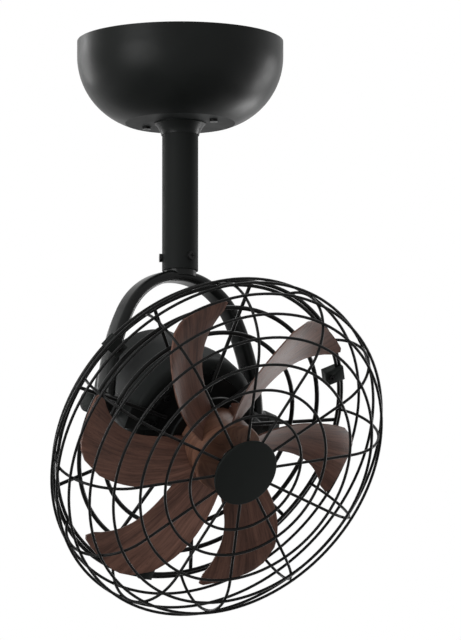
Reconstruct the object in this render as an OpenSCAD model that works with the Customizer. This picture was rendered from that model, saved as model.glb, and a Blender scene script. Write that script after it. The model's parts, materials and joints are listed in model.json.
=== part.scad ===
// Caged ceiling fan: one tilting fan head in a fork that turns under a down rod and a bowl canopy.
// The ceiling is the plane Z = 0 and the down rod's axis is X = Y = 0.
// Head coordinates: X along the tilt axis, Z out through the front grille, origin on both axes.

/* [Canopy] */
// Radius of the canopy at the ceiling
canopy_r = 109; // [100:1:120]
// Depth of the canopy below the ceiling
canopy_h = 88; // [84:1:100]
// Height of the straight band at the canopy's rim
canopy_band = 16; // [10:1:22]
// Radius of the canopy's flat underside
canopy_flat_r = 58; // [54:1:64]
// Thickness of the canopy's shell
canopy_wall = 1.5; // [1:0.1:2.5]
// Distance of each canopy screw from the rod's axis
canopy_screw_r = 41; // [38:0.5:45]
// Direction of the first canopy screw, from +X toward +Y
canopy_screw_angle = -30; // [-40:1:-25]
// Height of the collar under the canopy
collar_h = 13; // [8:1:20]
// Radius of the collar's upper edge
collar_r = 27; // [26:0.5:32]

/* [Ceiling bracket] */
// Distance between the two ceiling slots
slot_spacing = 88.9; // [84:0.1:96]
// Length of each ceiling slot, end to end
slot_length = 14; // [10:1:18]
// Width of each ceiling slot
slot_w = 5.5; // [4:0.1:7]
// Width of the bracket's strap
bracket_w = 36; // [30:1:40]
// Thickness of the bracket's steel
bracket_t = 3; // [2:0.5:4]
// Depth of the bracket below the ceiling
bracket_h = 50; // [46:1:56]
// Radius of the bracket's round lower plate
bracket_ring_r = 50; // [48:1:54]
// Radius of the hanger ball
ball_r = 31; // [29:0.5:34]
// Height of the ball's centre above the bracket's underside
ball_rise = 16; // [14:0.5:17]
// Diameter of the pin through the ball and the rod
pin_d = 6; // [5:0.5:8]
// Length of the terminal block
terminal_l = 28; // [20:1:34]
// Length of the capacitor
capacitor_l = 34; // [28:1:38]

/* [Down rod] */
// Outer diameter of the down rod
rod_od = 38.1; // [36:0.1:40]
// Wall of the down rod
rod_wall = 2; // [1.5:0.1:3]
// Distance from the ceiling to the rod's lower end
rod_drop = 246.5; // [180:0.5:400]
// Height of the retaining screws above the rod's lower end
rod_screw_h = 13.5; // [10:0.5:20]
// Direction of the first retaining screw, from -Y toward +X
rod_screw_angle = 35.5; // [0:0.5:60]
// Diameter of each retaining screw's shank
rod_screw_d = 4.8; // [4:0.1:6]

/* [Fork] */
// Distance between the centre lines of the fork's legs at the tilt axis
leg_span = 192.8; // [186:0.2:200]
// Radius of the fork's crown, on its centre line
crown_r = 80; // [74:1:86]
// Radius of the fork's sides, on their centre line
side_r = 220; // [190:5:260]
// Thickness of the flat-oval bar, across the fork's plane
bar_t = 12; // [10:0.5:14]
// Depth of the flat-oval bar, front to back
bar_d = 25; // [20:0.5:26]
// Radius of the round boss at each leg's end
boss_r = 14; // [13:0.5:16]
// Height of the stem above the rod's lower end
stem_h = 38; // [28:1:50]
// Length of each tilt knob
knob_h = 17.7; // [14:0.1:24]
// Radius of each tilt knob next to the fork
knob_r = 14; // [12:0.5:17]
// Radius of each tilt knob at its outer end
knob_tip_r = 11; // [9:0.5:12]
// Diameter of the tilt bolts
bolt_d = 8; // [6:0.5:10]

/* [Pose] */
// Turn of the fork about the rod
pan = 36.2; // [0:0.1:90]
// Tilt of the head below level
tilt = 34.5; // [0:0.1:90]

/* [Motor] */
// Largest radius of the motor housing
motor_r = 75.3; // [73:0.1:78]
// Front face of the motor, from the tilt axis
motor_front = 28.8; // [26:0.1:32]
// Seam between the front and rear covers, behind the tilt axis
seam_back = 16; // [12:0.5:20]
// Rear end of the motor, behind the tilt axis
motor_back = 85; // [82:0.5:95]
// Radius of the rear cover at the seam
seam_r = 71; // [69:0.5:72]
// Radius of the rear cover near its rear end
back_r = 60; // [58:0.5:64]
// Wall of the motor covers
cover_wall = 2.5; // [2:0.1:3]
// Radius of the stator
stator_r = 56; // [53:0.5:57]
// Length of the stator
stator_l = 36; // [30:1:38]
// Radius of the rotor core
rotor_r = 30; // [24:0.5:34]
// Diameter of the motor shaft
shaft_d = 10; // [8:0.5:12]
// Outer diameter of the bearings
bearing_od = 26; // [24:0.5:28]
// Width of the bearings
bearing_w = 8; // [7:0.5:9]
// Width of the tilt brackets
ear_w = 24; // [20:0.5:26]
// Thickness of the tilt brackets
ear_t = 2.4; // [2:0.1:3]

/* [Cage] */
// Radius of the front grille's flat face
face_r = 130; // [120:1:140]
// Front rings' centre plane, from the tilt axis
face_z = 141.7; // [136:0.1:150]
// Radius of the cage's rounded shoulder, through the rings' centres
shoulder_r = 60.2; // [57:0.1:64]
// Diameter of the front grille's wire
wire_d = 3.1; // [2:0.1:3.6]
// Radius of the innermost front ring
first_ring_r = 66.6; // [58:0.1:70]
// Distance between the flat face's rings
ring_pitch = 29.7; // [26:0.1:30]
// Diameter of the front grille's rim ring
rim_d = 3.7; // [3:0.1:4]
// Diameter of the rear grille's rim ring
back_rim_d = 4.2; // [3:0.1:5]
// Diameter of the rear grille's spokes
back_spoke_d = 4; // [3:0.1:5]
// Diameter of the rear grille's two inner rings
back_ring_d = 4.8; // [4:0.1:6]
// Radius of the rear grille's smaller ring
back_ring_a = 113.4; // [104:0.1:120]
// Radius of the rear grille's larger ring
back_ring_b = 143; // [136:0.1:146]
// Width of each rim clip
clip_w = 16.5; // [14:0.5:24]
// Radius of the centre disc
disc_r = 37; // [33:0.5:42]

/* [Blades] */
// Radius of the wooden hub
hub_r = 39; // [37:0.5:42]
// Front face of the hub, from the tilt axis
hub_front = 108; // [104:0.5:112]
// Front face of the plate that carries the blades, from the tilt axis
carrier_z = 66.5; // [64:0.5:68]
// Radius to the blades' tips
blade_tip_r = 169.5; // [160:0.5:176]
// Leading edges, from the tilt axis
lead_z = 71.3; // [70:0.1:74]
// Trailing edges, from the tilt axis
trail_z = 100.5; // [92:0.1:104]
// Thickness of a blade at mid chord
blade_t = 3.4; // [2.6:0.1:4]
// Depth of a blade's hollow face
camber = 2.5; // [1:0.1:4]

/* [Hidden] */
$fn = 96;
wire_fn = 24;

// Clearances: a pin in its bore, a gap between two moving pieces, and two welded wires' bite
fit = 0.05;
gap = 0.3;
weld = 0.03;
nick = 0.01;

// Where two bends of one bar meet, a band this much proud closes a slit this wide
band = 0.06;
slit = 0.3;

// Canopy: the bowl's side is one arc, upright where it leaves the band
bowl_in = canopy_r - canopy_flat_r;
bowl_down = canopy_h - canopy_band;
bowl_r = (bowl_in * bowl_in + bowl_down * bowl_down) / (2 * bowl_in);
bowl_c = [canopy_r - bowl_r, -canopy_band];
canopy_hole_r = rod_od / 2 + 5;
canopy_screw_d = 4;
canopy_head_r = 4.5;
canopy_head_h = 2.5;
collar_bend = 1.4;
standoff_r = 5;

// Bracket and ball
leg_x = slot_spacing / 2 + slot_length / 2 + 4.5;
ball_z = ball_rise - bracket_h;
ball_top = ball_z + 6;
pin_z = ball_z - 3;
pin_half = ball_r + 2.4;
clip_t = 1;
rod_top = ball_top + 2;
rod_r = rod_od / 2;
bore_r = rod_r - rod_wall;
grommet_hole_r = 6;
box_t = 14;

// Rod's lower end and the stem in it
screw_z = rod_screw_h - rod_drop;
rod_head_r = 4.5;
rod_head_h = 3;
stem_r = bore_r - fit;
groove_r = stem_r - 3;
duct_r = 6;

// Fork: crown arc, then side arcs that end upright at the tilt axis
leg_x_mid = leg_span / 2;
crown_half = asin((side_r - leg_x_mid) / (side_r - crown_r));
crown_c = (side_r - crown_r) * cos(crown_half);
crown_z = crown_c + crown_r;
crown_slit = slit / crown_r * 180 / PI;
pivot_z = -rod_drop - 0.5 - bar_t / 2 - crown_z;
boss_in = leg_x_mid - bar_t / 2 - 2;
boss_out = leg_x_mid + bar_t / 2 + 2.6;
washer_t = 2.1;
washer_r = 12;
ear_x = boss_in - gap - washer_t;
bolt_r = bolt_d / 2;
bolt_head_r = bolt_r + 3;
bolt_head_h = 2.6;
knob_x = boss_out + gap;
bolt_end = knob_x + knob_h - 5;

// Motor
face_flat_r = motor_r - 9.3;
seam_z = -seam_back;
back_z = -motor_back;
back_corner = 8;
inner_back = back_z + cover_wall;
inner_front = motor_front - cover_wall;
stator_front = seam_z + 2;
stator_back = stator_front - stator_l;
shelf_t = 4;
stator_bore = rotor_r + 1;
coil_h = 9;
shaft_r = shaft_d / 2;
bearing_r = bearing_od / 2;
cup_r = bearing_r + 4;
rear_bearing_z = inner_back + 2.5;
front_bearing_z = inner_front - 6 - bearing_w;
stay_screw_r = 62.5;
stay_post_r = 4;
stay_d = 3.8;
stay_end = seam_z - 10;
grille_screw_r = 54.5;
grille_screw_d = 4;
small_head_r = 3;
ear_in = 46.3;
ear_screws = [ear_in + 5.7, ear_in + 14.7];
ear_screw_y = -3;
ear_screw_d = 4;
post_h = 13;

// Rear grille, from the motor's face forward
plate_t = 3.2;
plate_in_r = 30;
plate_out_r = grille_screw_r + 4.5;
back_spokes = 9;
back_spoke_angle = 10;
back_spoke_in = 42;
back_spoke_z = motor_front + plate_t + back_spoke_d / 2 - weld;
back_rise = 0.85;
rim_reach = 28;
rim_seat = 0.6;
rim_step = 1.5;
back_rim_z = back_wire_z(back_ring_b + rim_reach, 0) + weld + rim_seat;

// Front grille: spokes run under the rings, from the disc over the shoulder to the rim
spoke_arc_r = shoulder_r - wire_d + weld;
shoulder_z = face_z - shoulder_r;
spoke_z = shoulder_z + spoke_arc_r;
front_rim_z = back_rim_z + rim_step;
rim_angle = asin((shoulder_z - front_rim_z) / spoke_arc_r);
front_rim_r = face_r + spoke_arc_r * cos(rim_angle);
back_rim_r = front_rim_r + sqrt(pow((rim_d + back_rim_d) / 2 + gap, 2) - pow(rim_step, 2));
back_spoke_out = back_rim_r - sqrt(pow(back_rim_d / 2, 2) - pow(rim_seat, 2)) + weld;
rim_stop = asin((rim_d / 2 - nick) / spoke_arc_r);
spoke_slit = slit / spoke_arc_r * 180 / PI;
spokes = 12;
spoke_angle = 15;
spoke_in = 22;
shoulder_rings = [65.5, 41.5, 17, -4, -25];
face_rings = [for (i = [0:2]) first_ring_r + i * ring_pitch];

// Rim clips
clip_angles = [30, 150, 270];
clip_in = front_rim_r - 16;
clip_out = back_rim_r + 1.5;
clip_half = 5;
clip_z = (front_rim_z + back_rim_z) / 2;
clip_screw_r = front_rim_r - 10;
clip_screw_d = 3.2;

// Centre disc in front of the spokes and the plate behind them
disc_back = spoke_z + wire_d / 2 + 0.2;
disc_t = 2.8;
clamp_front = spoke_z - wire_d / 2 - 0.2;
clamp_t = 2;
disc_boss_r = spoke_in - 3;
centre_screw_r = disc_boss_r - 7;

// Rotor
collar_t = 2.5;
shaft_end = hub_front + 8;
carrier_t = 3;
carrier_r = hub_r + 11;
carrier_boss_r = 13;
carrier_boss_back = carrier_z - 20;
hub_washer_t = 1.5;
hub_washer_r = 10;
hub_nut_h = 5.5;

// Blade outline: angle of each edge against radius, as a constant, a slope and a curve
lead_angles = [119.4, -6.1, -6.3];
trail_angles = [146.1, -11.2, -0.3];
sweep_mid_r = 110;
sweep_half = 50;
root_r = hub_r + gap;
edge_t = 1.6;
lead_corner = 12;
trail_corner = 21.5;
trail_drop = 16.9;
trail_drop_r = 100;
blade_steps = 18;
chord_steps = 12;
foot_steps = 1;
foot_chord = 6;
blade_screw_r = root_r + 3.7;
blade_screw_angles = [127, 138];
blade_screw_d = 3.6;
blade_screw_depth = 6.5;

// Arc of n steps about c, as points
function arc(c, r, a0, a1, n = 16) =
    [for (i = [0:n]) c + r * [cos(a0 + (a1 - a0) * i / n), sin(a0 + (a1 - a0) * i / n)]];

// Point at radius r and angle a
function polar(r, a) = [r * cos(a), r * sin(a)];

// Fork coordinates: X along the tilt axis, Z up, origin on the tilt axis
module in_fork() {
    translate([0, 0, pivot_z]) rotate([0, 0, pan]) children();
}

// Head coordinates
module in_head() {
    in_fork() rotate([tilt + 90, 0, 0]) children();
}

// Cylinder along Z from z0 to z1
module rod(r, z0, z1) {
    translate([0, 0, z0]) cylinder(r = r, h = z1 - z0);
}

// Cylinder along X from x0 to x1
module bar(r, x0, x1) {
    translate([x0, 0, 0]) rotate([0, 90, 0]) cylinder(r = r, h = x1 - x0);
}

// Flat ring along Z
module ring(r_out, r_in, z0, z1) {
    difference() {
        rod(r_out, z0, z1);
        rod(r_in, z0 - 1, z1 + 1);
    }
}

// Round wire bent to a full circle of radius r in the plane z
module hoop(r, z, d) {
    rotate_extrude() translate([r, z]) circle(d = d, $fn = wire_fn);
}

// Screw whose head stands on the plane z = seat and whose shank runs back from it
module screw(seat, head_r, head_h, d, depth) {
    rod(d / 2, seat - depth, seat + nick);
    difference() {
        rod(head_r, seat, seat + head_h);
        translate([0, 0, seat + head_h - 0.8])
            for (a = [0, 90]) rotate([0, 0, a]) cube([head_r * 1.1, 0.9, 2], center = true);
    }
}

// Ceiling bracket: slotted strap, two legs and a round plate with the ball's seat
module hanger_bracket() color([0.45, 0.46, 0.47]) difference() {
    union() {
        translate([-leg_x - bracket_t, -bracket_w / 2, -bracket_t])
            cube([2 * (leg_x + bracket_t), bracket_w, bracket_t]);
        for (x = [-leg_x - bracket_t, leg_x])
            translate([x, -bracket_w / 2, -bracket_h]) cube([bracket_t, bracket_w, bracket_h]);
        translate([-leg_x - bracket_t, -bracket_w / 2, -bracket_h])
            cube([2 * (leg_x + bracket_t), bracket_w, bracket_t]);
        rod(bracket_ring_r, -bracket_h, bracket_t - bracket_h);
    }
    for (side = [-1, 1]) translate([side * slot_spacing / 2, 0, 0]) slot_cut();
    translate([0, 0, ball_z]) sphere(r = ball_r + fit);
    translate([-rod_r - 1, 0, -bracket_h - 1])
        cube([2 * rod_r + 2, bracket_ring_r + 1, bracket_t + 2]);
    at_canopy_screws() rod(canopy_screw_d / 2 + fit, -bracket_h - 1, bracket_t - bracket_h + 1);
}

// Round-ended slot along X through the bracket's strap
module slot_cut() {
    for (side = [-1, 1]) translate([side * (slot_length - slot_w) / 2, 0, 0])
        rod(slot_w / 2, -bracket_t - 1, 1);
    translate([(slot_w - slot_length) / 2, -slot_w / 2, -bracket_t - 1])
        cube([slot_length - slot_w, slot_w, bracket_t + 2]);
}

module at_canopy_screws() {
    for (turn = [0, 180]) rotate([0, 0, canopy_screw_angle + turn])
        translate([canopy_screw_r, 0, 0]) children();
}

// Ball that hangs the rod in the bracket
module hanger_ball() color([0.08, 0.08, 0.08]) difference() {
    translate([0, 0, ball_z]) sphere(r = ball_r);
    rod(ball_r + 1, ball_top, ball_z + ball_r + 1);
    rod(rod_r + fit, ball_z - ball_r - 1, ball_top + 1);
    translate([0, 0, pin_z]) bar(pin_d / 2 + fit, -ball_r - 1, ball_r + 1);
}

// Headed pin through the ball and the rod
module hanger_pin() color([0.6, 0.6, 0.6]) translate([0, 0, pin_z]) difference() {
    union() {
        bar(pin_d / 2, -ball_r, pin_half);
        bar(pin_d / 2 + 2, -ball_r - 2, -ball_r);
    }
    difference() {
        bar(pin_d / 2 + 1, ball_r + gap, ball_r + gap + clip_t + fit);
        bar(pin_d / 2 - 0.6, ball_r, pin_half);
    }
}

// Spring ring in the pin's groove, open on one side
module pin_clip() color([0.5, 0.5, 0.52]) translate([0, 0, pin_z]) difference() {
    bar(pin_d / 2 + 2, ball_r + gap, ball_r + gap + clip_t);
    bar(pin_d / 2 - 0.6 + fit, ball_r, pin_half);
    translate([ball_r, -1.6, 0]) cube([5, 3.2, pin_d]);
}

// Down rod with the pin's cross hole and the three retaining screws' holes
module down_rod() color([0.09, 0.09, 0.09]) difference() {
    rod(rod_r, -rod_drop, rod_top);
    rod(bore_r, -rod_drop - 1, rod_top + 1);
    translate([0, 0, pin_z]) bar(pin_d / 2 + fit, -rod_r - 1, rod_r + 1);
    at_rod_screws() rod(rod_screw_d / 2 + fit, bore_r - 1, rod_r + 1);
}

// Each retaining screw points out along Z here
module at_rod_screws() {
    for (i = [0:2]) rotate([0, 0, rod_screw_angle - 120 * i])
        translate([0, 0, screw_z]) rotate([90, 0, 0]) children();
}

// Bush that lines the rod's upper mouth
module rod_grommet() color([0.05, 0.05, 0.05]) difference() {
    union() {
        rod(rod_r - 0.5, rod_top, rod_top + 2);
        rod(bore_r - fit, pin_z + pin_d / 2 + 0.5, rod_top + nick);
    }
    rod(grommet_hole_r, pin_z, rod_top + 3);
}

// Retaining screws: their tips ride in the stem's groove
module rod_screws() color([0.13, 0.13, 0.13]) at_rod_screws()
    screw(rod_r, rod_head_r, rod_head_h, rod_screw_d, rod_r - groove_r - gap);

// Bowl canopy with its straight rim band and flat underside
module canopy() color([0.09, 0.09, 0.09]) difference() {
    rotate_extrude($fn = 180) polygon(concat(
        [[canopy_r, 0]],
        arc(bowl_c, bowl_r, 0, -asin(bowl_down / bowl_r), 24),
        [[canopy_hole_r, -canopy_h], [canopy_hole_r, canopy_wall - canopy_h]],
        arc(bowl_c, bowl_r - canopy_wall,
            -asin((bowl_down - canopy_wall) / (bowl_r - canopy_wall)), 0, 24),
        [[canopy_r - canopy_wall, 0]]));
    at_canopy_screws() rod(canopy_screw_d / 2 + fit, -canopy_h - 1, 2 - canopy_h);
}

// Posts that carry the canopy from the bracket's lower plate
module canopy_standoffs() color([0.6, 0.6, 0.6]) at_canopy_screws() difference() {
    union() {
        rod(standoff_r, canopy_wall - canopy_h, -bracket_h);
        rod(canopy_screw_d / 2, -bracket_h - nick, bracket_t - bracket_h + 1);
    }
    rod(canopy_screw_d / 2 + fit, canopy_wall - canopy_h - 1, canopy_wall - canopy_h + 16);
}

module canopy_screws() color([0.13, 0.13, 0.13]) at_canopy_screws()
    translate([0, 0, -canopy_h]) mirror([0, 0, 1])
        screw(0, canopy_head_r, canopy_head_h, canopy_screw_d, 12);

// Collar under the canopy: its side flares up in a hollow curve
module canopy_collar() color([0.09, 0.09, 0.09]) translate([0, 0, -canopy_h])
    rotate_extrude() polygon(concat(
        [[rod_r + fit, 0], [collar_r, 0], [collar_r, -1.2]],
        [for (t = [0:0.1:1]) [rod_r + 1 + (collar_r - rod_r - 2) * pow(1 - t, collar_bend),
            -1.2 - (collar_h - 1.2) * t]],
        [[rod_r + fit, -collar_h]]));

// Terminal block on the outside of one leg
module terminal_block() color([0.8, 0.8, 0.78]) difference() {
    translate([leg_x + bracket_t, -terminal_l / 2, -bracket_h + 8])
        cube([box_t, terminal_l, 18]);
    for (i = [-1:1]) {
        translate([leg_x + bracket_t + box_t - 4, i * terminal_l / 3.5, -bracket_h + 17])
            rotate([0, 90, 0]) cylinder(r = 2, h = 5);
        translate([leg_x + bracket_t + box_t / 2, i * terminal_l / 3.5, -bracket_h + 19])
            cylinder(r = 1.8, h = 8);
    }
}

// Capacitor on the outside of the other leg
module run_capacitor() color([0.12, 0.12, 0.13]) {
    translate([-leg_x - bracket_t - box_t - 4, -capacitor_l / 2, -bracket_h + 6])
        cube([box_t + 4, capacitor_l, 26]);
    translate([-leg_x - bracket_t - box_t - 4, -3, -bracket_h + 32 - nick])
        cube([2, 6, 5]);
}

// Section of the flat-oval bar, its long way along the second axis
module bar_section(proud = 0) {
    square([bar_t + 2 * proud, bar_d - bar_t], center = true);
    for (side = [-1, 1]) translate([0, side * (bar_d - bar_t) / 2])
        circle(d = bar_t + 2 * proud, $fn = wire_fn);
}

// Bend of the bar about the second axis, between two angles from the first axis
module bend(r, a0, a1) {
    rotate([90, 0, 0]) rotate([0, 0, a0])
        rotate_extrude(angle = a1 - a0, $fn = 150) translate([r, 0]) bar_section();
}

// Inverted U of flat-oval bar with a boss at each end and a stem on its crown
module fork() color([0.09, 0.09, 0.09]) in_fork() difference() {
    union() {
        translate([0, 0, crown_c])
            bend(crown_r, 90 - crown_half + crown_slit, 90 + crown_half - crown_slit);
        for (side = [0, 1]) mirror([side, 0, 0]) {
            translate([leg_x_mid - side_r, 0, 0]) bend(side_r, 0, 90 - crown_half);
            translate([0, 0, crown_c]) rotate([0, crown_half - 90, 0])
                translate([crown_r, 0, -1]) linear_extrude(2) bar_section(band);
            bar(boss_r, boss_in, boss_out);
        }
        rod(stem_r, crown_z, stem_h - rod_drop - pivot_z);
    }
    for (side = [0, 1]) mirror([side, 0, 0]) bar(bolt_r + fit, boss_in - 1, boss_out + 1);
    ring(stem_r + 1, groove_r, screw_z - pivot_z - rod_screw_d / 2 - gap,
        screw_z - pivot_z + rod_screw_d / 2 + gap);
    rod(duct_r, crown_z, stem_h - rod_drop - pivot_z + 1);
}

// Rear motor cover: tapered bell with vents, a stator seat and a bearing cup
module motor_rear_cover() color([0.1, 0.1, 0.1]) in_head() difference() {
    union() {
        difference() {
            rotate_extrude() polygon(concat(
                [[0, back_z]],
                arc([back_r - back_corner, back_z + back_corner], back_corner, -90, -8, 8),
                [[seam_r, seam_z], [0, seam_z]]));
            rotate_extrude() polygon(concat(
                [[0, inner_back]],
                arc([back_r - back_corner, back_z + back_corner], back_corner - cover_wall,
                    -90, -8, 8),
                [[bell_r(stator_back - shelf_t), stator_back - shelf_t],
                    [stator_r - 6, stator_back - shelf_t], [stator_r - 6, stator_back],
                    [stator_r + fit, stator_back], [stator_r + fit, stator_front - 16],
                    [bell_r(stator_front - 16), stator_front - 16],
                    [bell_r(seam_z), seam_z + nick], [0, seam_z + nick]]));
            for (i = [0:11]) rotate([0, 0, 15 + 30 * i]) vent(26, back_r - 16);
        }
        ring(cup_r, bearing_r, inner_back - nick, rear_bearing_z + bearing_w + 1.5);
        rod(cup_r, inner_back - nick, rear_bearing_z);
        at_stays() {
            rod(stay_post_r, stay_end - 4, seam_z);
            translate([0, -1.5, stay_end - 4]) cube([seam_r - stay_screw_r - 1, 3, 10]);
        }
    }
    at_stays() rod(stay_d / 2 + fit, stay_end - 1, seam_z + 1);
}

// Inside radius of the rear cover's bell at height z
function bell_r(z) = back_r + (seam_r - back_r) * (z - back_z - back_corner)
    / (seam_z - back_z - back_corner) - cover_wall;

// Radial slot with round ends through the rear cover's end wall
module vent(r0, r1) {
    for (r = [r0, r1]) translate([r, 0, 0]) rod(2, back_z - 1, inner_back + 0.5);
    translate([r0, -2, back_z - 1]) cube([r1 - r0, 4, cover_wall + 1.5]);
}

module at_stays() {
    for (i = [0:2]) rotate([0, 0, 90 + 120 * i]) translate([stay_screw_r, 0, 0]) children();
}

module at_grille_screws() {
    for (a = clip_angles) rotate([0, 0, a]) translate([grille_screw_r, 0, 0]) children();
}

module at_ear_screws() {
    for (x = ear_screws, side = [-1, 1]) translate([side * x, ear_screw_y, 0]) children();
}

// Front motor cover: rounded skirt and a flat face that carries the grille
module motor_front_cover() color([0.1, 0.1, 0.1]) in_head() difference() {
    union() {
        difference() {
            rotate_extrude() polygon(concat(
                [[seam_r - cover_wall - 0.5, seam_z], [motor_r - 2, seam_z]],
                arc([motor_r - 60, 0], 60, -asin(seam_back / 60) * 0.9, 0, 6),
                arc([motor_r - 9.3, motor_front - 9.3], 9.3, 0, 90, 10),
                [[shaft_r + 1, motor_front], [shaft_r + 1, inner_front]],
                arc([motor_r - 9.3, motor_front - 9.3], 9.3 - cover_wall, 90, 0, 10),
                arc([motor_r - 60, 0], 60 - cover_wall, 0, -asin(seam_back / 60) * 0.6, 6),
                [[seam_r - cover_wall - 0.5, seam_z + 3]]));
        }
        ring(cup_r, bearing_r, front_bearing_z - 1.5, front_bearing_z + bearing_w);
        ring(cup_r, shaft_r + 1, front_bearing_z + bearing_w - nick, inner_front + nick);
        at_stays() rod(stay_post_r, seam_z, inner_front + nick);
        at_grille_screws() rod(stay_post_r + 0.5, inner_front - post_h, inner_front + nick);
        at_ear_screws() rod(stay_post_r, inner_front - post_h, inner_front + nick);
    }
    at_stays() rod(stay_d / 2 + fit, seam_z - 1, motor_front + 1);
    at_grille_screws() rod(grille_screw_d / 2 + fit, inner_front - post_h - 1, motor_front + 1);
    at_ear_screws() rod(ear_screw_d / 2 + fit, inner_front - post_h - 1, motor_front + 1);
    // Room beside the skirt for the two brackets and their bolts' heads
    for (side = [0, 1]) mirror([side, 0, 0]) {
        translate([ear_x - ear_t - gap, -ear_w / 2 - gap, -ear_w / 2 - gap])
            cube([ear_w, ear_w + 2 * gap, motor_front + ear_w]);
        bar(bolt_head_r + gap, ear_x - ear_t - bolt_head_h - gap, ear_x);
    }
}

module motor_screws() color([0.13, 0.13, 0.13]) in_head() at_stays()
    screw(motor_front, small_head_r, 2.2, stay_d, motor_front - stay_end);

// Laminated stator with twelve slots in its bore
module stator_core() color([0.5, 0.5, 0.52]) in_head() difference() {
    ring(stator_r, stator_bore, stator_back, stator_front);
    for (i = [0:11]) rotate([0, 0, 30 * i])
        translate([stator_bore - 1, -2, stator_back - 1]) cube([13, 4, stator_l + 2]);
}

// Winding ends on both faces of the stator
module stator_coils() color([0.6, 0.32, 0.15]) in_head()
    for (i = [0:11]) rotate([0, 0, 15 + 30 * i])
        for (z = [stator_front, stator_back - coil_h])
            translate([stator_bore + 3, -6, z]) cube([stator_r - stator_bore - 10, 12, coil_h]);

module rear_bearing() color([0.7, 0.7, 0.72]) in_head() bearing(rear_bearing_z);

module front_bearing() color([0.7, 0.7, 0.72]) in_head() bearing(front_bearing_z);

// Ball bearing as a closed ring with a shallow recess in each face
module bearing(z) {
    difference() {
        ring(bearing_r - 0.02, shaft_r + 0.03, z, z + bearing_w);
        for (z2 = [z - 1, z + bearing_w - 0.6])
            ring(bearing_r - 2.5, shaft_r + 2.5, z2, z2 + 1.6);
    }
}

module tilt_bracket_left() color([0.1, 0.1, 0.1]) in_head() mirror([1, 0, 0]) tilt_bracket();

module tilt_bracket_right() color([0.1, 0.1, 0.1]) in_head() tilt_bracket();

// Strap from the motor's face, bent back to a round ear on the tilt axis
module tilt_bracket() {
    difference() {
        union() {
            translate([ear_in, -ear_w / 2, motor_front]) cube([ear_x - ear_in, ear_w, ear_t]);
            translate([ear_x - ear_t, -ear_w / 2, 0]) cube([ear_t, ear_w, motor_front + ear_t]);
            bar(ear_w / 2, ear_x - ear_t, ear_x);
        }
        bar(bolt_r + fit, ear_x - ear_t - 1, ear_x + 1);
        at_ear_screws() rod(ear_screw_d / 2 + fit, motor_front - 1, motor_front + ear_t + 1);
    }
}

module bracket_screws() color([0.13, 0.13, 0.13]) in_head() at_ear_screws()
    screw(motor_front + ear_t, small_head_r, 2, ear_screw_d, ear_t + 10);

// Tilt bolts: head inside the bracket, shank out through the fork into the knob
module tilt_bolts() color([0.55, 0.55, 0.56]) in_head() for (side = [0, 1]) mirror([side, 0, 0]) {
    bar(bolt_head_r, ear_x - ear_t - bolt_head_h, ear_x - ear_t);
    bar(bolt_r, ear_x - ear_t - nick, bolt_end);
}

module friction_washers() color([0.2, 0.2, 0.2]) in_head()
    for (side = [0, 1]) mirror([side, 0, 0]) difference() {
        bar(washer_r, ear_x, ear_x + washer_t);
        bar(bolt_r + fit, ear_x - 1, ear_x + washer_t + 1);
    }

// Rear grille's mounting plate, open where the two tilt brackets lie on the motor's face
module rear_grille() color([0.09, 0.09, 0.09]) in_head() difference() {
    ring(plate_out_r, plate_in_r, motor_front, motor_front + plate_t);
    for (side = [0, 1]) mirror([side, 0, 0])
        translate([ear_in - gap, -ear_w / 2 - gap, motor_front - 1])
            cube([plate_out_r, ear_w + 2 * gap, plate_t + 2]);
    at_grille_screws() rod(grille_screw_d / 2 + fit, motor_front - 1, motor_front + plate_t + 1);
}

// Straight spokes that rise a little from the mounting plate out to the rim
module rear_spokes() color([0.09, 0.09, 0.09]) in_head()
    for (i = [0:back_spokes - 1]) rotate([0, 0, back_spoke_angle + i * 360 / back_spokes])
        translate([back_spoke_in, 0, back_spoke_z]) rotate([0, 90 - back_rise, 0])
            cylinder(d = back_spoke_d, h = (back_spoke_out - back_spoke_in) / cos(back_rise),
                $fn = wire_fn);

// Height of a wire of diameter d that lies on the rear spokes at radius r
function back_wire_z(r, d) = back_spoke_z + (r - back_spoke_in) * tan(back_rise)
    + (back_spoke_d + d) / 2 - weld;

// Two heavy rings on the front of the rear spokes, and the rim ring round the spokes' ends
module rear_rings() color([0.09, 0.09, 0.09]) in_head() {
    for (r = [back_ring_a, back_ring_b]) hoop(r, back_wire_z(r, back_ring_d), back_ring_d);
    hoop(back_rim_r, back_rim_z, back_rim_d);
}

module grille_screws() color([0.13, 0.13, 0.13]) in_head() at_grille_screws()
    screw(motor_front + plate_t, 4, 2.4, grille_screw_d, plate_t + 10);

// Front grille's bent spokes, from the centre disc over the shoulder to the rim ring
module front_grille() color([0.09, 0.09, 0.09]) in_head()
    for (i = [0:spokes - 1]) rotate([0, 0, spoke_angle + i * 360 / spokes]) cage_spoke();

// Rings welded to the outside of the front spokes: three on the face, five on the shoulder
module front_rings() color([0.09, 0.09, 0.09]) in_head() {
    for (r = face_rings) hoop(r, face_z, wire_d);
    for (a = shoulder_rings)
        hoop(face_r + shoulder_r * cos(a), shoulder_z + shoulder_r * sin(a), wire_d);
}

// Rim ring that the front spokes end on
module front_rim() color([0.09, 0.09, 0.09]) in_head() hoop(front_rim_r, front_rim_z, rim_d);

// One spoke along +X: straight over the face, then round the shoulder to the rim
module cage_spoke() {
    translate([spoke_in, 0, spoke_z]) rotate([0, 90, 0])
        cylinder(d = wire_d, h = face_r - spoke_in, $fn = wire_fn);
    translate([face_r - 1, 0, spoke_z]) rotate([0, 90, 0])
        cylinder(r = wire_d / 2 + band, h = 2, $fn = wire_fn);
    translate([face_r, 0, shoulder_z]) rotate([90, 0, 0]) rotate([0, 0, rim_stop - rim_angle])
        rotate_extrude(angle = 90 + rim_angle - rim_stop - spoke_slit, $fn = 96)
            translate([spoke_arc_r, 0]) circle(d = wire_d, $fn = wire_fn);
}

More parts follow.
